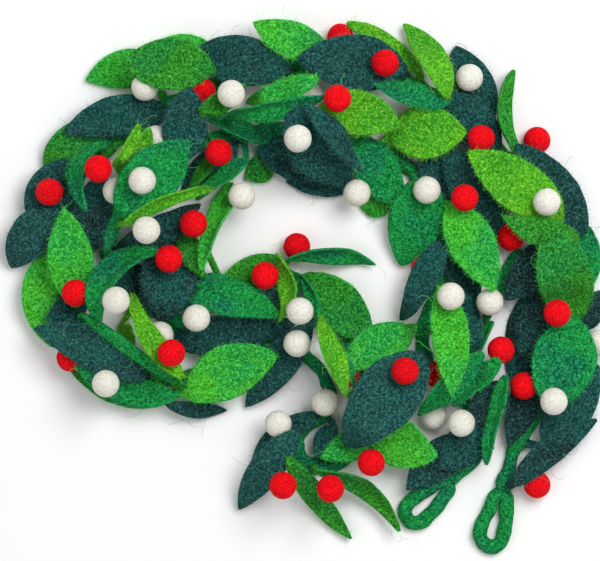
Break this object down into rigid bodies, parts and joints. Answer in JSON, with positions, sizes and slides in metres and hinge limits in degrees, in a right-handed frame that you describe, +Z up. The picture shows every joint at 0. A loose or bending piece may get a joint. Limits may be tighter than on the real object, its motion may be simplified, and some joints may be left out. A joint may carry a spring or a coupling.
{
  "type": "felt leaf and ball garland",
  "caption": "Garland of felted leaves and small felt balls on a felt cord with a hanging loop at each end, folded in two and laid in a ring.",
  "frame": {"origin": "on the surface it lies on, under the middle of the laid garland's bounding box", "axes": "+Z up from the surface; +Y towards the top of the laid ring, away from the end loops; +X to the right as seen from above"},
  "size_m": [0.447, 0.3944, 0.0793],
  "materials": {
    "leaf_felt": "matte wool felt, five greens from near-black teal to lime",
    "loop_felt": "matte rolled wool felt, emerald green",
    "white_felt": "matte wool felt, natural white",
    "red_felt": "matte wool felt, bright red"
  },
  "bodies": {
    "root": {"ball_red_03": "red_felt", "ball_red_04": "red_felt", "ball_red_05": "red_felt", "ball_red_07": "red_felt", "ball_red_08": "red_felt", "ball_red_09": "red_felt", "ball_red_12": "red_felt", "ball_red_13": "red_felt", "ball_red_16": "red_felt", "ball_red_17": "red_felt", "ball_red_18": "red_felt", "ball_red_20": "red_felt", "ball_red_23": "red_felt", "ball_red_24": "red_felt", "ball_red_25": "red_felt", "ball_red_27": "red_felt", "ball_red_29": "red_felt", "ball_red_30": "red_felt", "ball_red_36": "red_felt", "ball_red_39": "red_felt", "ball_red_40": "red_felt", "ball_red_41": "red_felt", "ball_red_44": "red_felt", "ball_red_46": "red_felt", "ball_red_50": "red_felt", "ball_red_52": "red_felt", "ball_red_55": "red_felt", "ball_red_56": "red_felt", "ball_red_57": "red_felt", "ball_white_01": "white_felt", "ball_white_02": "white_felt", "ball_white_06": "white_felt", "ball_white_10": "white_felt", "ball_white_11": "white_felt", "ball_white_14": "white_felt", "ball_white_15": "white_felt", "ball_white_19": "white_felt", "ball_white_21": "white_felt", "ball_white_22": "white_felt", "ball_white_26": "white_felt", "ball_white_28": "white_felt", "ball_white_31": "white_felt", "ball_white_32": "white_felt", "ball_white_33": "white_felt", "ball_white_34": "white_felt", "ball_white_35": "white_felt", "ball_white_37": "white_felt", "ball_white_38": "white_felt", "ball_white_42": "white_felt", "ball_white_43": "white_felt", "ball_white_45": "white_felt", "ball_white_47": "white_felt", "ball_white_48": "white_felt", "ball_white_49": "white_felt", "ball_white_51": "white_felt", "ball_white_53": "white_felt", "ball_white_54": "white_felt", "loop_inner": "loop_felt", "loop_outer": "loop_felt", "vine": "leaf_felt"}
  },
  "joints": []
}
